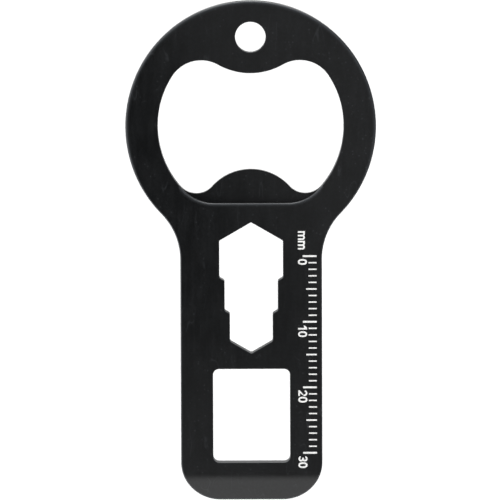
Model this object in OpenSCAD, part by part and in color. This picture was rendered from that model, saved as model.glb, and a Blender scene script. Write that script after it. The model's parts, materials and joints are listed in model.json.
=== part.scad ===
// Keychain bottle opener: one flat plate with a ring hole, a bottle opening with a recessed
// lifting tooth, a stepped hex wrench, a window, a pry tip and a printed 30 mm ruler.
// The plate hangs from its ring hole. The hole's centre is the origin, +Z is up, the printed
// front faces -Y, and every drop below is a distance down from that centre.

/* [Plate] */
// Thickness of the plate
plate_t = 3; // [2:0.25:4]
// Radius of the round head
head_r = 19; // [18:0.05:21]
// Width of the handle
handle_w = 21.5; // [20.5:0.25:24]
// Overall length
overall_l = 76.1; // [75.6:0.1:90]
// Radius of the fillets between the head and the handle
neck_r = 10; // [6:0.5:14]
// Radius of the two corners at the tip
end_corner_r = 6; // [2:0.1:8]

/* [Key ring hole] */
// Diameter of the hole for the key ring
ring_hole_d = 4.63; // [3:0.01:5.5]
// From the top of the head down to the centre of the hole
ring_hole_edge = 5.5; // [4.5:0.05:6]

/* [Bottle opening] */
// Radius of the opening's two sides
opening_r = 14.09; // [13.5:0.01:14.5]
// Radius of the tongue that rests on the cap
tongue_r = 10; // [9:0.5:11]
// Drop to the lowest point of the tongue
tongue_drop = 5.47; // [5.2:0.01:5.9]
// Radius of the lobes beside the tongue
upper_lobe_r = 5.2; // [4.8:0.1:5.6]
// Radius of the tooth that lifts the cap
tooth_r = 7.95; // [7.5:0.05:8.4]
// Drop to the highest point of the tooth
tooth_drop = 20.14; // [19.8:0.01:20.6]
// Radius of the lobes beside the tooth
lower_lobe_r = 3.2; // [2.8:0.1:3.6]

/* [Recess around the tooth] */
// Thickness of the plate that is left at the tooth
shelf_t = 1.5; // [1:0.1:1.8]
// Drop to the straight lower edge of the recess
recess_drop = 25.2; // [25:0.05:25.8]
// Radius of the recess's two lower corners
recess_corner_r = 6.5; // [5.6:0.1:6.6]

/* [Wrench] */
// Across the flats of the large nut: 3/8 inch
large_nut = 9.525; // [9:0.025:10.5]
// Across the flats of the middle nut: 5/16 inch
middle_nut = 7.9375; // [7.5:0.0125:8.5]
// Across the flats of the small nut: 1/4 inch
small_nut = 6.35; // [5.5:0.05:6.6]
// Play that is added to each nut
nut_play = 0.15; // [0:0.05:0.3]
// Drop to the top of the large flats
large_drop = 30.9; // [30.5:0.1:32]
// Drop to the lower ends of the large, the middle and the small flats
flat_end_drops = [36.56, 41.54, 46.21];
// Radius of the corners between the flats
wrench_corner_r = 0.4; // [0.1:0.1:0.5]

/* [Window] */
// Width of the window
window_w = 11.7; // [8:0.1:13]
// Drop to the window's upper edge
window_drop = 50.44; // [50:0.02:52]
// Height of the window
window_h = 14.27; // [8:0.01:14.5]
// Radius of the window's corners
window_corner_r = 0.9; // [0.3:0.1:3]

/* [Pry tip] */
// Length of the bevel
tip_bevel_l = 3.8; // [2:0.1:5]
// Thickness of the tip's edge
tip_t = 1; // [0.5:0.1:1.4]

/* [Ruler] */
// Thickness of the printed film
ink_t = 0.03; // [0.02:0.01:0.1]
// Drop to the zero tick
zero_drop = 33.26; // [33:0.01:34]
// From the handle's side to the outer ends of the ticks
tick_inset = 0.82; // [0.5:0.01:1]
// Lengths of the 1 mm, the 5 mm and the 10 mm ticks
tick_lengths = [1.22, 1.6, 2.1];
// Widths of the 1 mm, the 5 mm and the 10 mm ticks
tick_widths = [0.205, 0.23, 0.28];
// Height of a numeral
numeral_h = 1.38; // [1.2:0.01:1.6]
// Width of a numeral
numeral_w = 0.88; // [0.8:0.01:1]
// Stroke of the numerals
stroke = 0.25; // [0.18:0.01:0.28]

/* [Hidden] */
$fn = 96;

ruler_l = 30;
over = 1; // how far a cutter runs past the faces
lap = [0, 0.25]; // how far a straight runs past the point where two arcs touch
head = [0, ring_hole_edge - head_r];
tip_z = ring_hole_edge - overall_l;
neck = [handle_w / 2 + neck_r, head[1] - sqrt(pow(head_r + neck_r, 2) - pow(handle_w / 2 + neck_r, 2))];
tongue = [0, tongue_r - tongue_drop];
tooth = [0, -tooth_drop - tooth_r];
recess_corner = on_side([0, recess_corner_r - recess_drop], opening_r - recess_corner_r);
upper_lobe = between(head, opening_r - upper_lobe_r, tongue, tongue_r + upper_lobe_r);
lower_lobe = between(head, opening_r - lower_lobe_r, tooth, tooth_r + lower_lobe_r);
half_flats = [for (nut = [large_nut, middle_nut, small_nut]) (nut + nut_play) / 2];
tick_end = handle_w / 2 - tick_inset;
numeral_base = tick_end - 2.83; // x of the numerals' baseline
numeral_step = numeral_w + 0.12; // from one digit to the next
numeral_gap = 0.44; // from a tick's centre to its numeral
oval_steps = 40;
fullness = 0.85; // power of the zeros' oval: 1 makes an ellipse, less a fuller shape
letter_h = 1.07;
letter_w = 1.34;
letter_step = letter_w + 0.12;
unit_gap = 1; // from the end of the unit mark to the zero tick

// The point right of the centre line that is as high as p, and a distance from the head's centre.
function on_side(p, distance) = [sqrt(pow(distance, 2) - pow(p[1] - head[1], 2)), p[1]];

// The point right of the centre line that is a distance ra from a and rb from b, both on that line.
function height(a, ra, b, rb) = (ra * ra - rb * rb + b[1] * b[1] - a[1] * a[1]) / 2 / (b[1] - a[1]);
function between(a, ra, b, rb) = let (z = height(a, ra, b, rb)) [sqrt(ra * ra - pow(z - a[1], 2)), z];

// A point as far along the ray from the head's centre through p as the distance says.
function ray(p, distance) = head + (p - head) / norm(p - head) * distance;

// A corner at b between a and c, rounded to radius r.
function corner(a, b, c, r, steps = 6) =
    let (u = (a - b) / norm(a - b), v = (c - b) / norm(c - b), half = acos(u * v) / 2)
    let (centre = b + (u + v) / norm(u + v) * r / sin(half))
    let (start = b + u * r / tan(half) - centre, end = b + v * r / tan(half) - centre)
    [for (i = [0:steps]) centre + r * unit(start * (steps - i) + end * i)];
function unit(v) = v / norm(v);
function mirrored(points) = [for (i = [len(points) - 1:-1:0]) [-points[i][0], points[i][1]]];

// Both sides of the centre line
module both_sides() {
    children();
    mirror([1, 0]) children();
}

// The front view carried to the plate: depths run from a front depth to a back depth, 0 at the front face.
module slab(front, back) {
    translate([0, back - plate_t / 2, 0]) rotate([90, 0, 0]) linear_extrude(back - front) children();
}

// What a rounded corner of radius r leaves out of a square corner at the origin, on its +X +Y side
module spandrel(r) {
    difference() {
        translate([-over, -over]) square(r + over);
        translate([r, r]) circle(r);
    }
}

module outline() {
    side = handle_w / 2;
    difference() {
        union() {
            translate(head) circle(head_r);
            polygon([
                head + lap, [-neck[0], neck[1]], [-side, neck[1]], [-side, tip_z],
                [side, tip_z], [side, neck[1]], neck
            ]);
        }
        both_sides() {
            translate(neck) circle(neck_r);
            translate([-side, tip_z]) spandrel(end_corner_r);
        }
    }
}

// The part of the opening's disc between the rays through two points
module side(from, to) {
    intersection() {
        translate(head) circle(opening_r);
        polygon([head, ray(to - lap / 2, 2 * opening_r), ray(from + lap / 2, 2 * opening_r)]);
    }
}

module bottle_opening() {
    difference() {
        union() {
            both_sides() {
                polygon([tooth - lap, lower_lobe, upper_lobe, tongue + lap]);
                translate(upper_lobe) circle(upper_lobe_r);
                translate(lower_lobe) circle(lower_lobe_r);
                side(upper_lobe, lower_lobe);
            }
        }
        translate(tongue) circle(tongue_r);
        translate(tooth) circle(tooth_r);
    }
}

// What the recess takes from the front, around and below the tooth
module recess() {
    both_sides() {
        polygon([[0, -recess_drop], [recess_corner[0], -recess_drop], recess_corner, lower_lobe, head]);
        translate(recess_corner) circle(recess_corner_r);
        side(lower_lobe, recess_corner);
    }
}

module wrench_opening() {
    rise = tan(30);
    large = half_flats[0];
    middle = half_flats[1];
    small = half_flats[2];
    corners = [
        [0, large * rise - large_drop],
        [large, -large_drop],
        [large, -flat_end_drops[0]],
        [middle, -flat_end_drops[0] - (large - middle) * rise],
        [middle, -flat_end_drops[1]],
        [small, -flat_end_drops[1] - (middle - small) * rise],
        [small, -flat_end_drops[2]],
        [0, -flat_end_drops[2] - small * rise]
    ];
    last = len(corners) - 1;
    rounded = [
        for (i = [1:last - 1])
            each corner(corners[i - 1], corners[i], corners[i + 1], wrench_corner_r)
    ];
    half = concat([corners[0]], rounded, [corners[last]]);
    polygon(concat(half, mirrored(rounded)));
}

module window() {
    r = window_corner_r;
    translate([-window_w / 2, -window_drop - window_h + r]) square([window_w, window_h - 2 * r]);
    translate([r - window_w / 2, -window_drop - window_h]) square([window_w - 2 * r, window_h]);
    for (z = [-window_drop - r, -window_drop - window_h + r])
        both_sides() translate([window_w / 2 - r, z]) circle(r);
}

// The wedge that the bevel takes from the front of the tip
module tip_bevel() {
    run = tip_bevel_l;
    fall = plate_t - tip_t;
    slope = fall / run;
    translate([-handle_w, 0, 0]) rotate([90, 0, 90]) linear_extrude(2 * handle_w)
        polygon([
            [-plate_t / 2 - over, tip_z + run + over / slope],
            [-plate_t / 2 - over, tip_z - over],
            [-plate_t / 2 + fall + over * slope, tip_z - over]
        ]);
}

// The film of one printed mark on the front face
module ink() {
    color("white") slab(-ink_t, 0) children();
}

// The ticks at every step millimetres, without those that a longer tick takes
module ticks(step, skipped, length, width) {
    ink() for (mm = [0:step:ruler_l])
        if (skipped == 0 || mm % skipped != 0)
            translate([tick_end - length, -zero_drop - mm - width / 2]) square([length, width]);
}

// Digits and letters read down the plate, with their tops towards its side.
module written(start_drop, base) {
    translate([base, -start_drop]) rotate(-90) children();
}

module ring(d) {
    difference() {
        circle(d = d);
        circle(d = d - 2 * stroke);
    }
}

// The signed power that makes an oval fuller
function full(v) = sign(v) * pow(abs(v), fullness);

// An oval that fills a box with its lower left corner at the origin
module oval(w, h) {
    polygon([
        for (i = [0:oval_steps - 1])
            let (a = 360 * i / oval_steps) [w / 2 * (1 + full(cos(a))), h / 2 * (1 + full(sin(a)))]
    ]);
}

module digit_0() {
    difference() {
        oval(numeral_w, numeral_h);
        translate([stroke, stroke]) oval(numeral_w - 2 * stroke, numeral_h - 2 * stroke);
    }
}

module digit_1() {
    margin = 0.14; // from the digit's cell to its ink, on both sides
    right = numeral_w - margin;
    left = right - stroke;
    flag_low = numeral_h - 0.56;
    flag = [[left, numeral_h - 0.42], [margin, flag_low], [margin, flag_low + 0.22], [left, numeral_h]];
    polygon(concat(flag, [[right, numeral_h], [right, 0], [left, 0]]));
}

module digit_2() {
    bowl = [numeral_w / 2, numeral_h - numeral_w / 2];
    square([numeral_w, stroke]);
    difference() {
        translate(bowl) ring(numeral_w);
        translate(bowl) polygon([[0, 0], [-2, 0.3], [-2, -2], [2, -2], [2, -0.9]]);
    }
    // The diagonal leaves the bowl along its tangent.
    foot = stroke - 0.02;
    polygon([[0, foot], [0.38, foot], [numeral_w - 0.04, 0.82], [numeral_w - 0.29, 0.71]]);
}

module digit_3() {
    d = (numeral_h + stroke) / 2;
    cx = numeral_w - d / 2;
    past = 0.07; // how far the opening on the left runs past the centres of the two rings
    bar = 0.16; // from those centres to the left end of the middle bar
    difference() {
        for (y = [d / 2, numeral_h - d / 2]) translate([cx, y]) ring(d);
        translate([cx - d, d / 2 - past]) square([d, numeral_h - d + 2 * past]);
    }
    translate([cx - bar, (numeral_h - stroke) / 2]) square([2 * bar, stroke]);
}

module letter_m() {
    pitch = (letter_w - stroke) / 2;
    for (i = [0:2]) translate([i * pitch, 0]) square([stroke, letter_h - (i == 0 ? 0 : (pitch + stroke) / 2)]);
    for (i = [0:1]) translate([(i + 0.5) * pitch + stroke / 2, letter_h - (pitch + stroke) / 2])
        difference() {
            ring(pitch + stroke);
            translate([-pitch, -2 * pitch]) square([2 * pitch, 2 * pitch]);
        }
}

// The numeral for a number of millimetres, just below its tick: its digits are the children.
module numeral(mm) {
    ink() written(zero_drop + mm + numeral_gap, numeral_base)
        for (i = [0:$children - 1]) translate([i * numeral_step, 0]) children(i);
}

module plate() {
    color("#242426") difference() {
        slab(0, plate_t) difference() {
            outline();
            circle(d = ring_hole_d);
            bottle_opening();
            wrench_opening();
            window();
        }
        slab(-over, plate_t - shelf_t) recess();
        tip_bevel();
    }
}

module millimetre_ticks() ticks(1, 5, tick_lengths[0], tick_widths[0]);

module five_millimetre_ticks() ticks(5, 10, tick_lengths[1], tick_widths[1]);

module ten_millimetre_ticks() ticks(10, 0, tick_lengths[2], tick_widths[2]);

module numeral_0() numeral(0) digit_0();

module numeral_10() numeral(10) {
    digit_1();
    digit_0();
}

module numeral_20() numeral(20) {
    digit_2();
    digit_0();
}

module numeral_30() numeral(30) {
    digit_3();
    digit_0();
}

module unit_mark() {
    ink() written(zero_drop - unit_gap - letter_step - letter_w, numeral_base)
        for (i = [0:1]) translate([i * letter_step, 0]) letter_m();
}

plate();
millimetre_ticks();
five_millimetre_ticks();
ten_millimetre_ticks();
numeral_0();
numeral_10();
numeral_20();
numeral_30();
unit_mark();
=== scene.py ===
"""A keychain bottle opener: a black anodised plate with a printed ruler, in a plain studio.

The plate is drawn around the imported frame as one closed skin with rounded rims, and the
printed marks of the frame get their ink.
"""

import json
import math
from types import SimpleNamespace

import bmesh
import bpy
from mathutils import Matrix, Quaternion, Vector


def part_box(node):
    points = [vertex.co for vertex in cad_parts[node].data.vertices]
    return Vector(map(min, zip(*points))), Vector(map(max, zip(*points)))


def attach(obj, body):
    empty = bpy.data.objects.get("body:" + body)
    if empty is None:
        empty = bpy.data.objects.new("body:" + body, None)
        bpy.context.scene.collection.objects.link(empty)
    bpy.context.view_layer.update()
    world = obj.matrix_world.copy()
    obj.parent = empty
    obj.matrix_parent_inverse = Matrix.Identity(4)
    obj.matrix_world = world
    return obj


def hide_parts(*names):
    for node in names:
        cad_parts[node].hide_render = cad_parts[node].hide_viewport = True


bl_info = {
    "name": "Keychain bottle opener",
    "version": (1, 0, 0),
    "blender": (4, 5, 0),
    "location": "3D View > Sidebar > Opener",
    "description": "Makes a flat keychain bottle opener with a hex wrench and a printed ruler",
    "category": "Object",
}

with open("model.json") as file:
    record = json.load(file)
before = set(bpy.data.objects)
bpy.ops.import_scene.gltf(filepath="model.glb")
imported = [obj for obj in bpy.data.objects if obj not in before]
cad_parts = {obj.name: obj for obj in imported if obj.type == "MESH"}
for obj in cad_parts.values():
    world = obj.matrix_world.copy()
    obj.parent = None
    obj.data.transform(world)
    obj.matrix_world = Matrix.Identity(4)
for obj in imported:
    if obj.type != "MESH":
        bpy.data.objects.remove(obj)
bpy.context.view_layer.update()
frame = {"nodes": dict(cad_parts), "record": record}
PLATE_LOW, PLATE_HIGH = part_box("plate")
BODY = "root"

MM = 0.001
CHORD = 0.28  # longest straight of an arc, in millimetres
ARC_STEPS = 4  # fewest straights of an arc
RIM_STEPS = 7  # rings of faces that round a rim
ROLL_TAIL = 0.7  # how much shallower a rolled rim runs out than an ellipse
ROLL_WEAR_AND_HIGHLIGHT = 5  # how much more narrowly the painted highlight and the scuffing lie on a rolled rim than on a crisp one
CREASE_CUTS = 6  # strips of faces across the crease of the bevel
CUT_SNAP = 1e-4  # distance, in millimetres, at which a vertex counts as on a cut
CHEEK_HIGH = (-25, -14)  # heights, in millimetres, where the outer rim passes from crisp to rolled
RECESS_HIGH = (-21.5, -23.5)  # and where the recess's rim does
HEX_SLANT = math.tan(math.radians(30))
SHARP = math.radians(35)  # least angle between faces at which their shading breaks
RING_HOLE = next(m for m in frame["record"]["mounts"] if m["name"] == "key_ring_hole")
MARKS = sorted(set(frame["nodes"]) - {"plate"})

# Where the room's light changes, by how much of a direction goes the named way
AHEAD_DARK = (0.6, 0.9)
RIGHT_DARK = (0.2, 0.7)
LEFT_BRIGHT = (0.4, 0.85)
BELOW_BRIGHT = (0.45, 0.8)

# Panels in front of the plate, in millimetres
UPPER_PANEL = {"place": (18.4, -43.5, -7), "size": (50, 90), "roll": math.radians(30)}
LOWER_PANEL = {"place": (-5, -101.5, -85), "size": (90, 47)}


# --- Settings ---------------------------------------------------------------------------


def length(name, description, default):
    """A length property, with its default in millimetres."""
    return bpy.props.FloatProperty(
        name=name, description=description, default=default * MM, min=0, unit="LENGTH", precision=5
    )


def colour(name, description, default):
    return bpy.props.FloatVectorProperty(
        name=name, description=description, default=default, size=3, min=0, max=1, subtype="COLOR"
    )


def share(name, description, default):
    return bpy.props.FloatProperty(
        name=name, description=description, default=default, min=0, max=1, subtype="FACTOR"
    )


def number(name, description, default):
    return bpy.props.FloatProperty(name=name, description=description, default=default, min=0)


def angle(name, description, default):
    """An angle property, with its default in degrees."""
    return bpy.props.FloatProperty(
        name=name, description=description, default=math.radians(default), subtype="ANGLE"
    )


class OpenerSizes(bpy.types.PropertyGroup):
    """The plate's sizes. A drop is a distance down from the centre of the ring hole."""

    handle_width: length("Handle width", "Width of the straight handle", 21.5)
    neck_radius: length("Neck radius", "Fillets between head and handle", 10)
    end_corner_radius: length("Tip corner radius", "Two corners at the pry tip", 6)
    opening_radius: length("Opening radius", "Sides of the bottle opening", 14.09)
    tongue_radius: length("Tongue radius", "Tongue that rests on the cap", 10)
    tongue_drop: length("Tongue drop", "Lowest point of the tongue", 5.47)
    upper_lobe_radius: length("Upper lobe radius", "Lobes beside the tongue", 5.2)
    tooth_radius: length("Tooth radius", "Tooth that lifts the cap", 7.95)
    tooth_drop: length("Tooth drop", "Highest point of the tooth", 20.14)
    lower_lobe_radius: length("Lower lobe radius", "Lobes beside the tooth", 3.2)
    shelf_thickness: length("Shelf thickness", "Metal that is left at the tooth", 1.5)
    recess_drop: length("Recess drop", "Straight lower edge of the recess", 25.2)
    recess_corner_radius: length("Recess corner radius", "Lower corners of the recess", 6.5)
    large_flats: length("Large flats", "Across the flats of the large opening", 9.675)
    middle_flats: length("Middle flats", "Across the flats of the middle opening", 8.0875)
    small_flats: length("Small flats", "Across the flats of the small opening", 6.5)
    flats_drop: length("Flats drop", "Upper ends of the large flats", 30.9)
    large_flat_end: length("Large flat end", "Drop to the lower ends of the large flats", 36.56)
    middle_flat_end: length("Middle flat end", "Drop to the lower ends of the middle flats", 41.54)
    small_flat_end: length("Small flat end", "Drop to the lower ends of the small flats", 46.21)
    wrench_corner_radius: length("Wrench corner radius", "Corners between the flats", 0.4)
    window_width: length("Window width", "Width of the window", 11.7)
    window_height: length("Window height", "Height of the window", 14.27)
    window_drop: length("Window drop", "Upper edge of the window", 50.44)
    window_corner_radius: length("Window corner radius", "Corners of the window", 0.9)
    bevel_length: length("Bevel length", "Length of the pry tip's bevel", 3.8)
    bevel_crease: length("Bevel crease", "Length over which the bevel begins", 1.7)
    tip_thickness: length("Tip thickness", "Metal that is left at the tip's edge", 1)
    outer_rim: length("Outer rim", "Rounding of the plate's outer edge", 0.22)
    inner_rim: length("Inner rim", "Rounding of the edges of the holes", 0.08)
    head_roll_width: length("Head roll width", "How far the face rolls off at the head's edge", 0.95)
    head_roll_depth: length("Head roll depth", "How deep the face rolls off at the head's edge", 0.38)
    recess_roll_width: length("Recess roll width", "How far the face rolls off at the recess", 0.8)
    recess_roll_depth: length("Recess roll depth", "How deep the face rolls off at the recess", 0.28)


class OpenerFinish(bpy.types.PropertyGroup):
    """The colours and the finish of the metal and of the ink."""

    metal: colour("Metal", "Black of the anodised plate", (0.0014, 0.002, 0.0027))
    # Lighter colour for scuffed metal; along the rims it also stands in for a painted highlight
    worn: colour("Worn metal", "Metal where the rims have rubbed", (0.05, 0.055, 0.062))
    ink: colour("Ink", "White of the printed marks", (0.94, 0.94, 0.93))
    metal_roughness: share("Metal roughness", "Roughness of the satin black", 0.36)
    ink_roughness: share("Ink roughness", "Roughness of the printed film", 0.62)
    thin_ink: share("Thin ink", "How bright the ink is where its film is thin", 0.86)
    base_wear: share("Base wear", "Wear that is all over the metal", 0.03)
    # The rims' share of the lighter colour is scuffing and a painted highlight at once
    rim_wear: share("Rim wear", "Wear in the middle of a rim", 0.8)
    speck_wear: share("Speck wear", "Wear at the specks", 0.3)
    scratch_wear: share("Scratch wear", "Wear along the scratches", 0.2)
    grain_depth: length("Grain depth", "Depth of the grain and the pores", 0.01)
    grain_strength: share("Grain strength", "How much the grain and the pores turn the gloss", 0.2)


class OpenerStudio(bpy.types.PropertyGroup):
    """The camera and the light."""

    distance: length("Camera distance", "From the camera to the front face", 1000)
    view_width: length("View width", "What the picture spans at the front face", 75.84)
    aim_drop: length("Aim drop", "Height of the picture's centre below the ring hole", 32.3)
    aim_left: length("Aim left", "Picture's centre left of the plate's centre line", 0.16)
    floor_gap: length("Floor gap", "From the pry tip down to the floor", 45)
    pitch: angle("Pitch", "How far the camera looks down", 4.5)
    roll: angle("Roll", "Turn of the camera about its view", 0.2)
    top_light: number("Top light", "Strength of the wide light overhead", 4.2)
    upper_glow: number("Upper glow", "Power of the panel that the head mirrors", 0.0045)
    lower_glow: number("Lower glow", "Power of the panel that the handle mirrors", 0.0055)
    surround: number("Surround", "Strength of the room's light", 0.75)
    left_wall: number("Left wall", "Extra strength of the light from the left", 1.5)
    table: number("Table", "Extra strength of the light from below", 1.1)
    backdrop: number("Backdrop", "Strength of the white that the camera sees", 1.05)
    ahead_dimming: share("Ahead dimming", "How dark the room is straight ahead", 0.93)
    right_dimming: share("Right dimming", "How dark the room is on the right", 0.8)
    top_spread: angle("Top spread", "Angular width of the light overhead", 60)
    floor_radius: length("Floor radius", "Radius of the floor", 3000)
    floor_white: share("Floor white", "Brightness of the floor", 0.58)
    floor_roughness: share("Floor roughness", "Roughness of the floor", 0.9)


# --- Drawing ----------------------------------------------------------------------------


def circles_meet(a, ra, b, rb):
    """The point right of the centre line that is ra from a and rb from b, both on that line."""
    high = (ra * ra - rb * rb + b.y * b.y - a.y * a.y) / (2 * (b.y - a.y))
    return Vector((math.sqrt(ra * ra - (high - a.y) ** 2), high))


def ramp(value, start, end):
    """Runs smoothly from 0 at start to 1 at end."""
    part = min(max((value - start) / (end - start), 0), 1)
    return part * part * (3 - 2 * part)


def toward(start, end, distance):
    return start + (end - start).normalized() * distance


def mirrored(point):
    return Vector((-point.x, point.y))


class Outline:
    """A line in the shelf's plane, drawn anticlockwise as seen from the front.

    One vertex is pushed along the straights and spun along the arcs. Each vertex keeps its own
    way into the metal, so that its rings can be rounded later. metal is 1 where the metal is on
    the line's right, as around a hole, and -1 where it is on its left.
    """

    def __init__(self, bm, start, metal=1):
        self.bm = bm
        self.metal = metal
        self.way = bm.verts.layers.float_vector["way"]
        self.verts = bmesh.ops.create_vert(bm, co=(start.x, 0, start.y))["vert"]

    @property
    def place(self):
        return Vector((self.verts[-1].co.x, self.verts[-1].co.z))

    def straight(self, end):
        run = (end - self.place).normalized()
        way = Vector((run.y, 0, -run.x)) * self.metal
        self.verts[-1][self.way] = way
        made = bmesh.ops.extrude_vert_indiv(self.bm, verts=self.verts[-1:])["verts"]
        bmesh.ops.translate(self.bm, verts=made, vec=Vector((end.x, 0, end.y)) - made[0].co)
        self.verts += made
        return self

    def arc(self, centre, end, turn):
        """Along the circle about centre to end. turn is 1 for anticlockwise and -1 for clockwise."""
        start, stop = self.place - centre, end - centre
        swept = (math.atan2(stop.y, stop.x) - math.atan2(start.y, start.x)) * turn % math.tau
        steps = max(ARC_STEPS, round(swept * start.length / CHORD))
        middle = Vector((centre.x, 0, centre.y))
        spun = bmesh.ops.spin(
            self.bm, geom=self.verts[-1:], cent=middle, axis=(0, -1, 0), angle=swept * turn, steps=steps
        )
        first, last = len(self.verts) - 1, spun["geom_last"][0]
        while self.verts[-1] != last:
            beside = [e.other_vert(self.verts[-1]) for e in self.verts[-1].link_edges]
            self.verts.append(next(v for v in beside if v not in self.verts[-2:]))
        for vert in self.verts[first:]:
            vert[self.way] = (vert.co - middle).normalized() * turn * self.metal
        return self

    def corner(self, at, beyond, radius):
        """Straight towards the corner at at and round it, towards the point beyond it."""
        back, on = (self.place - at).normalized(), (beyond - at).normalized()
        half = back.angle(on) / 2
        centre = at + (back + on).normalized() * (radius / math.sin(half))
        reach = radius / math.tan(half)
        turn = 1 if back.cross(on) < 0 else -1
        self.straight(at + back * reach)
        return self.arc(centre, at + on * reach, turn)

    def roll(self, ends):
        """The rim's roll, from 0 at the first height of ends to 1 at the second."""
        layer = self.bm.verts.layers.float["roll"]
        for vert in self.verts:
            vert[layer] = ramp(vert.co.z, *ends)

    def join(self, other):
        """Ends this line at the first vertex of another, or of itself."""
        bmesh.ops.weld_verts(self.bm, targetmap={self.verts[-1]: other.verts[0]})
        self.verts[-1] = other.verts[0]
        return self

    def edges(self):
        return [self.bm.edges.get(pair) for pair in zip(self.verts, self.verts[1:])]


def closed(bm, corners, radii):
    """A closed outline around a hole: straights with rounded corners."""
    start = (corners[-1] + corners[0]) / 2
    line = Outline(bm, start)
    for index, radius in enumerate(radii):
        line.corner(corners[index], corners[(index + 1) % len(corners)], radius)
    return line.straight(start).join(line)


def outer_outline(bm, s):
    side, corner = s.handle_width / 2, s.end_corner_radius
    head = Vector((0, s.top - s.head_radius))
    reach = s.head_radius + s.neck_radius
    neck_x = side + s.neck_radius
    neck = Vector((neck_x, head.y - math.sqrt(reach**2 - neck_x**2)))
    cheek = toward(head, neck, s.head_radius)
    corner_centre = Vector((side - corner, s.tip + corner))
    start = Vector((0, s.tip))
    line = Outline(bm, start, metal=-1)
    line.straight(Vector((side - corner, s.tip)))
    line.arc(corner_centre, Vector((side, s.tip + corner)), 1)
    line.straight(Vector((side, neck.y)))
    line.arc(neck, cheek, -1)
    line.arc(head, mirrored(cheek), 1)
    line.arc(mirrored(neck), Vector((-side, neck.y)), -1)
    line.straight(Vector((-side, s.tip + corner)))
    line.arc(mirrored(corner_centre), Vector((corner - side, s.tip)), 1)
    return line.straight(start).join(line)


def ring_hole_outline(bm, s):
    right = Vector((s.ring_hole_radius, 0))
    line = Outline(bm, right)
    line.arc(Vector((0, 0)), mirrored(right), 1)
    line.arc(Vector((0, 0)), right, 1)
    return line.join(line)


def opening_outlines(bm, s):
    """The bottle opening's lines: its sides and top, the tooth, and the recess's lower edge."""
    head = Vector((0, s.top - s.head_radius))
    tongue = Vector((0, s.tongue_radius - s.tongue_drop))
    tooth = Vector((0, -s.tooth_drop - s.tooth_radius))
    upper = circles_meet(
        head, s.opening_radius - s.upper_lobe_radius, tongue, s.tongue_radius + s.upper_lobe_radius
    )
    lower = circles_meet(
        head, s.opening_radius - s.lower_lobe_radius, tooth, s.tooth_radius + s.lower_lobe_radius
    )
    corner_high = s.recess_corner_radius - s.recess_drop
    reach = s.opening_radius - s.recess_corner_radius
    corner = Vector((math.sqrt(reach**2 - (corner_high - head.y) ** 2), corner_high))
    from_lower = toward(head, lower, s.opening_radius)
    to_upper = toward(head, upper, s.opening_radius)
    to_corner = toward(head, corner, s.opening_radius)
    beside_tongue = toward(upper, tongue, s.upper_lobe_radius)
    beside_tooth = toward(lower, tooth, s.lower_lobe_radius)
    floor = Vector((corner.x, -s.recess_drop))

    top = Outline(bm, from_lower)
    top.arc(head, to_upper, 1)
    top.arc(upper, beside_tongue, 1)
    top.arc(tongue, mirrored(beside_tongue), -1)
    top.arc(mirrored(upper), mirrored(to_upper), 1)
    top.arc(head, mirrored(from_lower), 1)

    tooth_line = Outline(bm, mirrored(from_lower))
    tooth_line.arc(mirrored(lower), mirrored(beside_tooth), 1)
    tooth_line.arc(tooth, beside_tooth, -1)
    tooth_line.arc(lower, from_lower, 1)

    recess = Outline(bm, mirrored(from_lower))
    recess.arc(head, mirrored(to_corner), 1)
    recess.arc(mirrored(corner), mirrored(floor), 1)
    recess.straight(floor)
    recess.arc(corner, to_corner, 1)
    recess.arc(head, from_lower, 1)

    tooth_line.join(top)
    recess.join(top)
    bmesh.ops.weld_verts(
        bm, targetmap={tooth_line.verts[0]: top.verts[-1], recess.verts[0]: top.verts[-1]}
    )
    tooth_line.verts[0] = recess.verts[0] = top.verts[-1]
    return top, tooth_line, recess


def wrench_outline(bm, s):
    """Three hexagons, one below the other, that share a centre line."""
    large, middle, small = s.large_flats / 2, s.middle_flats / 2, s.small_flats / 2
    right = [
        Vector((small, -s.small_flat_end)),
        Vector((small, -s.middle_flat_end - (middle - small) * HEX_SLANT)),
        Vector((middle, -s.middle_flat_end)),
        Vector((middle, -s.large_flat_end - (large - middle) * HEX_SLANT)),
        Vector((large, -s.large_flat_end)),
        Vector((large, -s.flats_drop)),
    ]
    lowest = Vector((0, -s.small_flat_end - small * HEX_SLANT))
    highest = Vector((0, large * HEX_SLANT - s.flats_drop))
    corners = [lowest, *right, highest, *[mirrored(p) for p in reversed(right)]]
    radius = s.wrench_corner_radius
    side = [radius] * (len(right) - 1) + [radius / 2]
    return closed(bm, corners, [radius, *side, radius / 2, *reversed(side)])


def window_outline(bm, s):
    side, top = s.window_width / 2, -s.window_drop
    low = top - s.window_height
    corners = [Vector((-side, low)), Vector((side, low)), Vector((side, top)), Vector((-side, top))]
    return closed(bm, corners, [s.window_corner_radius] * len(corners))


# --- The plate --------------------------------------------------------------------------


def plain_sizes(sizes):
    """The sizes in millimetres, because the triangle fill joins points closer than 0.00003 units."""
    s = SimpleNamespace(**{name: getattr(sizes, name) / MM for name in sizes.__annotations__})
    s.head_radius = (PLATE_HIGH.x - PLATE_LOW.x) / 2 / MM
    s.top = PLATE_HIGH.z / MM
    s.tip = PLATE_LOW.z / MM
    s.thickness = (PLATE_HIGH.y - PLATE_LOW.y) / MM
    s.ring_hole_radius = RING_HOLE["dims"]["r_mm"]
    return s


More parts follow.
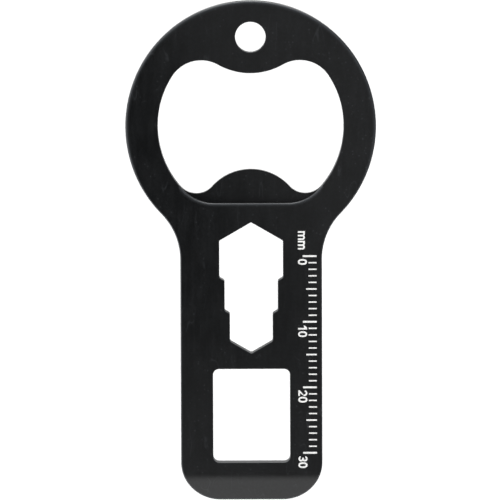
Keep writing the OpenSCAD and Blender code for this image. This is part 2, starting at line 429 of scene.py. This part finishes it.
def extrude(bm, edges, move, rim=0.0):
    """Extrudes edges into a further ring. rim is how much of the lighter colour that ring gets,
    scuffing and painted highlight together, from 0 to 1.

    move(vert) says how far a vertex goes into the metal, and how far along Y.
    """
    way = bm.verts.layers.float_vector["way"]
    rubbed_and_highlighted, rolled = bm.verts.layers.float["rim"], bm.verts.layers.float["roll"]
    made = bmesh.ops.extrude_edge_only(bm, edges=edges)["geom"]
    for vert in (g for g in made if isinstance(g, bmesh.types.BMVert)):
        into, along = move(vert)
        vert.co += vert[way] * into
        vert.co.y += along
        # Mask of the lighter colour on the rims: scuffing plus a painted highlight, narrower on rolled
        # rims
        vert[rubbed_and_highlighted] = rim ** (1 + ROLL_WEAR_AND_HIGHLIGHT * vert[rolled])
    return [g for g in made if isinstance(g, bmesh.types.BMEdge) and len(g.link_faces) == 1]


def wall(bm, edges, end, radius, rolled=None):
    """Carries edges from the shelf's plane to the face at end, and rounds the rim there.

    Towards a roll of 1 the rim passes from a quarter circle of that radius to a rim with the
    width and the depth of rolled, which is steep at first and then rolls on as far as its width.
    """
    layer = bm.verts.layers.float["roll"]
    wide, deep = rolled or (radius, radius)
    side = math.copysign(1, end)

    def point(vert, turn):
        roll = vert[layer] if rolled else 0
        width = radius + (wide - radius) * roll
        depth = radius + (deep - radius) * roll
        into = (1 - math.cos(turn)) ** (1 + ROLL_TAIL * roll)
        return Vector((width * into, side * depth * math.sin(turn)))

    edges = extrude(bm, edges, lambda vert: (0, end - point(vert, math.pi / 2).y))
    turns = [math.pi / 2 * step / RIM_STEPS for step in range(RIM_STEPS + 1)]
    for before, after in zip(turns, turns[1:]):
        # Scuffing and a painted highlight, strongest in the middle of each rounding, where it catches
        # light
        worn = math.sin(2 * after)
        edges = extrude(bm, edges, lambda vert: point(vert, after) - point(vert, before), worn)
    return edges


def bevel_tip(bm, s):
    """Thins the plate from the front towards the tip, with a soft crease where the bevel begins."""
    crease = s.tip + s.bevel_length
    slope = (s.thickness - s.tip_thickness) / s.bevel_length
    soft = s.bevel_crease
    for cut in range(CREASE_CUTS + 1):
        high = crease + soft * (0.5 - cut / CREASE_CUTS)
        everything = bm.verts[:] + bm.edges[:] + bm.faces[:]
        level = {"plane_co": (0, 0, high), "plane_no": (0, 0, 1)}
        bmesh.ops.bisect_plane(bm, geom=everything, dist=CUT_SNAP, **level)
    for vert in bm.verts:
        past = min(max(crease + soft / 2 - vert.co.z, 0), soft)
        fall = past * past / (2 * soft) + max(crease - soft / 2 - vert.co.z, 0)
        vert.co.y += slope * fall * (s.shelf_thickness - vert.co.y) / s.thickness


def plate_mesh(sizes):
    """The plate's closed skin: walls and rims around each outline, then the faces between them."""
    s = plain_sizes(sizes)
    bm = bmesh.new()
    bm.verts.layers.float_vector.new("way")
    bm.verts.layers.float.new("rim")
    bm.verts.layers.float.new("roll")
    front, back = s.shelf_thickness - s.thickness, s.shelf_thickness
    outer = outer_outline(bm, s)
    holes = [ring_hole_outline(bm, s), wrench_outline(bm, s), window_outline(bm, s)]
    top, tooth, recess = opening_outlines(bm, s)
    outer.roll(CHEEK_HIGH)
    recess.roll(RECESS_HIGH)
    rolls = (s.head_roll_width, s.head_roll_depth), (s.recess_roll_width, s.recess_roll_depth)
    for face, lower, head_roll, recess_roll in ((front, recess, *rolls), (back, tooth, None, None)):
        rims = wall(bm, outer.edges(), face, s.outer_rim, head_roll)
        for hole in holes:
            rims += wall(bm, hole.edges(), face, s.inner_rim)
        rims += wall(bm, top.edges() + lower.edges(), face, s.inner_rim, recess_roll)
        outward = (0, math.copysign(1, face), 0)
        bmesh.ops.triangle_fill(bm, use_beauty=True, edges=rims, normal=outward)
    shelf = tooth.edges() + recess.edges()
    bmesh.ops.triangle_fill(bm, use_beauty=True, edges=shelf, normal=(0, -1, 0))
    bevel_tip(bm, s)
    bmesh.ops.translate(bm, verts=bm.verts, vec=(0, PLATE_HIGH.y / MM - s.shelf_thickness, 0))
    bmesh.ops.scale(bm, verts=bm.verts, vec=(MM, MM, MM))
    bmesh.ops.recalc_face_normals(bm, faces=bm.faces)
    for face in bm.faces:
        face.smooth = True
    for edge in bm.edges:
        edge.smooth = edge.calc_face_angle(0) < SHARP
    mesh = bpy.data.meshes.new("opener_plate")
    bm.to_mesh(mesh)
    bm.free()
    return mesh


# --- Materials --------------------------------------------------------------------------


class Value:
    """A number that varies over a surface. An expression on it adds its Math nodes."""

    def __init__(self, graph, socket):
        self.graph = graph
        self.socket = socket

    def math(self, operation, *values):
        return self.graph.node("ShaderNodeMath", dict(enumerate(values)), operation=operation)

    def __add__(self, other):
        return self.math("ADD", self, other)

    def __sub__(self, other):
        return self.math("SUBTRACT", self, other)

    def __rsub__(self, other):
        return self.math("SUBTRACT", other, self)

    def __mul__(self, other):
        return self.math("MULTIPLY", self, other)

    __radd__ = __add__
    __rmul__ = __mul__

    def size(self):
        return self.math("ABSOLUTE", self)

    def swing(self, amount):
        """A noise's distance from its middle, times amount."""
        return amount * (self - 0.5)

    def step(self, low, high):
        """Runs smoothly from 0 at low to 1 at high."""
        inputs = {"Value": self, "From Min": low, "From Max": high}
        return self.graph.node("ShaderNodeMapRange", inputs, interpolation_type="SMOOTHSTEP")


class Graph:
    """The nodes of one material or world."""

    def __init__(self, tree):
        tree.nodes.clear()
        self.tree = tree

    def node(self, kind, inputs, output=0, **settings):
        node = self.tree.nodes.new(kind)
        for name, value in settings.items():
            setattr(node, name, value)
        for key, value in inputs.items():
            if isinstance(value, Value):
                self.tree.links.new(value.socket, node.inputs[key])
            else:
                node.inputs[key].default_value = value
        return Value(self, node.outputs[output]) if node.outputs else None

    def stretched(self, vector, scale, turn=0.0):
        """The pattern's coordinates in millimetres, scaled along each axis and turned about Y."""
        inputs = {"Vector": vector, "Scale": [k / MM for k in scale], "Rotation": (0, turn, 0)}
        return self.node("ShaderNodeMapping", inputs)

    def noise(self, vector, scale, detail, turn=0.0):
        """A noise with scale cells to the millimetre along each axis, turned about Y."""
        inputs = {"Vector": self.stretched(vector, scale, turn), "Scale": 1, "Detail": detail}
        return self.node("ShaderNodeTexNoise", inputs)

    def blend(self, factor, a, b):
        """Colour a where the factor is 0, and b where it is 1."""
        return self.node("ShaderNodeMix", {0: factor, 6: a, 7: b}, output=2, data_type="RGBA")


def opaque(rgb):
    return (*rgb, 1)


def material(name, paint):
    """A material whose nodes paint(graph, coordinates) makes; it returns the shader's inputs."""
    made = bpy.data.materials.new(name)
    made.use_nodes = True
    graph = Graph(made.node_tree)
    place = graph.node("ShaderNodeTexCoord", {}, output="Object")
    shader = graph.node("ShaderNodeBsdfPrincipled", paint(graph, place))
    graph.node("ShaderNodeOutputMaterial", {"Surface": shader})
    return made


def anodised_black(finish):
    def paint(graph, place):
        grain = graph.noise(place, (2.4, 2.4, 0.2), detail=3)
        blotch = graph.noise(place, (0.4, 0.4, 0.25), detail=3)
        pores = graph.noise(place, (2.6, 2.6, 2.6), detail=2)
        cells = {"Vector": graph.stretched(place, (2, 2, 2)), "Scale": 1}
        speck = graph.node("ShaderNodeTexVoronoi", cells, output="Distance")
        chance = graph.node("ShaderNodeTexVoronoi", cells, output="Color")
        specks = (1 - speck.step(0.15, 0.32)) * chance.step(0.75, 0.85) * blotch.step(0.4, 0.55)
        drift = graph.noise(place, (0.5, 0.5, 0.12), detail=1, turn=0.3)
        scuffed = graph.noise(place, (0.3, 0.3, 0.3), detail=1).step(0.52, 0.6)
        scratches = (1 - (drift - 0.5).size().step(0.003, 0.011)) * scuffed
        # Rim mask: scuffed edges plus a painted highlight along each rounding
        rubbed_and_highlighted = graph.node("ShaderNodeAttribute", {}, output="Fac", attribute_name="rim")
        tone = 1 + blotch.swing(0.25) + grain.swing(0.2)
        mottling = finish.base_wear + pores.swing(0.16) + grain.swing(0.1) + blotch.swing(0.12)
        # Lighter colour from random mottling, specks and scratches, plus the rims' scuffing and painted
        # highlight
        wear_and_highlight = mottling + finish.rim_wear * rubbed_and_highlighted
        wear_and_highlight = wear_and_highlight + finish.speck_wear * specks + finish.scratch_wear * scratches
        relief = {
            "Strength": finish.grain_strength,
            "Distance": finish.grain_depth,
            "Height": 0.6 * grain + 0.4 * pores,
        }
        return {
            "Base Color": graph.blend(wear_and_highlight, opaque(finish.metal), opaque(finish.worn)),
            "Metallic": 0.0,
            "Roughness": finish.metal_roughness * tone,
            "Normal": graph.node("ShaderNodeBump", relief),
        }

    return material("anodised_black", paint)


def printed_white(finish):
    def paint(graph, place):
        patch = graph.noise(place, (2.5, 2.5, 2.5), detail=2)
        thin = tuple(finish.thin_ink * part for part in finish.ink)
        return {
            "Base Color": graph.blend(patch.step(0.35, 0.6), opaque(thin), opaque(finish.ink)),
            "Roughness": finish.ink_roughness + patch.swing(0.1),
        }

    return material("printed_white", paint)


# --- Pieces -----------------------------------------------------------------------------


def show(name, mesh):
    piece = bpy.data.objects.new(name, mesh)
    bpy.context.scene.collection.objects.link(piece)
    return piece


class OPENER_OT_plate(bpy.types.Operator):
    """Make the black plate, with every rim rounded, in place of the frame's plain one."""

    bl_idname = "opener.plate"
    bl_label = "Plate"

    def execute(self, context):
        piece = show("opener_plate", plate_mesh(context.scene.opener_sizes))
        piece.data.materials.append(anodised_black(context.scene.opener_finish))
        normals = piece.modifiers.new("flat_faces_stay_flat", "WEIGHTED_NORMAL")
        normals.keep_sharp = True
        normals.weight = 100
        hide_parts("plate")
        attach(piece, BODY)
        return {"FINISHED"}


class OPENER_OT_printed_marks(bpy.types.Operator):
    """Give the ruler's ticks, its numerals and its unit mark their white ink."""

    bl_idname = "opener.printed_marks"
    bl_label = "Printed marks"

    def execute(self, context):
        ink = printed_white(context.scene.opener_finish)
        for name in MARKS:
            marks = frame["nodes"][name]
            marks.data.materials.clear()
            marks.data.materials.append(ink)
        return {"FINISHED"}


# --- Studio -----------------------------------------------------------------------------


def lamp(name, kind, place, aim, energy, roll=0.0, **settings):
    """A light that the camera doesn't see."""
    light = bpy.data.lights.new(name, kind)
    light.energy = energy
    for setting, value in settings.items():
        setattr(light, setting, value)
    made = bpy.data.objects.new(name, light)
    bpy.context.scene.collection.objects.link(made)
    made.location = place
    turn = (aim - place).to_track_quat("-Z", "Y") @ Quaternion((0, 0, 1), roll)
    made.rotation_euler = turn.to_euler()
    made.visible_camera = False


def panel(name, place, size, energy, roll=0.0):
    """A soft panel in front of the plate, parallel to it, that only a part of the face mirrors.

    place and size are in millimetres.
    """
    place = Vector([part * MM for part in place])
    ahead = place + Vector((0, 1, 0))
    wide, high = (side * MM for side in size)
    lamp(name, "AREA", place, ahead, energy, roll, shape="RECTANGLE", size=wide, size_y=high)


def pale_floor(studio):
    """A white floor that the metal doesn't mirror, so that the surround alone shapes its gloss."""
    bm = bmesh.new()
    bmesh.ops.create_circle(bm, cap_ends=True, segments=96, radius=studio.floor_radius)
    bmesh.ops.translate(bm, verts=bm.verts, vec=(0, 0, PLATE_LOW.z - studio.floor_gap))
    mesh = bpy.data.meshes.new("floor")
    bm.to_mesh(mesh)
    bm.free()
    floor = show("floor", mesh)
    floor.visible_glossy = False
    white = {"Base Color": opaque([studio.floor_white] * 3), "Roughness": studio.floor_roughness}
    floor.data.materials.append(material("pale_floor", lambda graph, place: white))


def surround(studio):
    """A bright room that is dark straight ahead of the face and on its right, and a white table."""
    world = bpy.data.worlds.new("surround")
    world.use_nodes = True
    bpy.context.scene.world = world
    graph = Graph(world.node_tree)
    way = graph.node("ShaderNodeTexCoord", {}, output="Generated")
    right = graph.node("ShaderNodeSeparateXYZ", {"Vector": way}, output="X")
    ahead = 0 - graph.node("ShaderNodeSeparateXYZ", {"Vector": way}, output="Y")
    below = 0 - graph.node("ShaderNodeSeparateXYZ", {"Vector": way}, output="Z")
    room = studio.surround * (1 - studio.ahead_dimming * ahead.step(*AHEAD_DARK))
    room = room * (1 - studio.right_dimming * right.step(*RIGHT_DARK))
    walls = studio.left_wall * (0 - right).step(*LEFT_BRIGHT)
    glow = room + walls + studio.table * below.step(*BELOW_BRIGHT)
    light = graph.node("ShaderNodeBackground", {"Strength": glow})
    plain = graph.node("ShaderNodeBackground", {"Color": (1, 1, 1, 1), "Strength": studio.backdrop})
    seen = graph.node("ShaderNodeLightPath", {}, output="Is Camera Ray")
    both = graph.node("ShaderNodeMixShader", {0: seen, 1: light, 2: plain})
    graph.node("ShaderNodeOutputWorld", {"Surface": both})


class OPENER_OT_studio(bpy.types.Operator):
    """Set the floor, the light and the camera."""

    bl_idname = "opener.studio"
    bl_label = "Studio"

    def execute(self, context):
        scene, studio = context.scene, context.scene.opener_studio
        scene.view_settings.view_transform = "Standard"
        pale_floor(studio)
        surround(studio)
        overhead, middle = Vector((0, 0, 1)), Vector((0, 0, -studio.aim_drop))
        lamp("overhead", "SUN", overhead, middle, studio.top_light, angle=studio.top_spread)
        panel("upper_panel", energy=studio.upper_glow, **UPPER_PANEL)
        panel("lower_panel", energy=studio.lower_glow, **LOWER_PANEL)
        data = bpy.data.cameras.new("camera")
        data.lens = data.sensor_width * studio.distance / studio.view_width
        camera = bpy.data.objects.new("camera", data)
        scene.collection.objects.link(camera)
        aim = Vector((-studio.aim_left, PLATE_LOW.y, -studio.aim_drop))
        view = Vector((0, math.cos(studio.pitch), -math.sin(studio.pitch)))
        turn = view.to_track_quat("-Z", "Y") @ Quaternion((0, 0, 1), -studio.roll)
        camera.location = aim - view * studio.distance
        camera.rotation_euler = turn.to_euler()
        scene.camera = camera
        return {"FINISHED"}


class OPENER_PT_panel(bpy.types.Panel):
    """The opener's sizes, finish and studio, and the buttons that make it."""

    bl_label = "Bottle opener"
    bl_idname = "OPENER_PT_panel"
    bl_space_type = "VIEW_3D"
    bl_region_type = "UI"
    bl_category = "Opener"

    def draw(self, context):
        for group_name, group in GROUPS.items():
            box = self.layout.box()
            for name in group.__annotations__:
                box.prop(getattr(context.scene, group_name), name)
        for operator in OPERATORS:
            self.layout.operator(operator.bl_idname)


GROUPS = {"opener_sizes": OpenerSizes, "opener_finish": OpenerFinish, "opener_studio": OpenerStudio}
OPERATORS = (OPENER_OT_plate, OPENER_OT_printed_marks, OPENER_OT_studio)
CLASSES = (*GROUPS.values(), *OPERATORS, OPENER_PT_panel)


def register():
    for cls in CLASSES:
        bpy.utils.register_class(cls)
    for name, group in GROUPS.items():
        setattr(bpy.types.Scene, name, bpy.props.PointerProperty(type=group))


def unregister():
    for name in GROUPS:
        delattr(bpy.types.Scene, name)
    for cls in reversed(CLASSES):
        bpy.utils.unregister_class(cls)


def main():
    register()
    bpy.ops.opener.plate()
    bpy.ops.opener.printed_marks()
    bpy.ops.opener.studio()


if __name__ == "__main__":
    main()
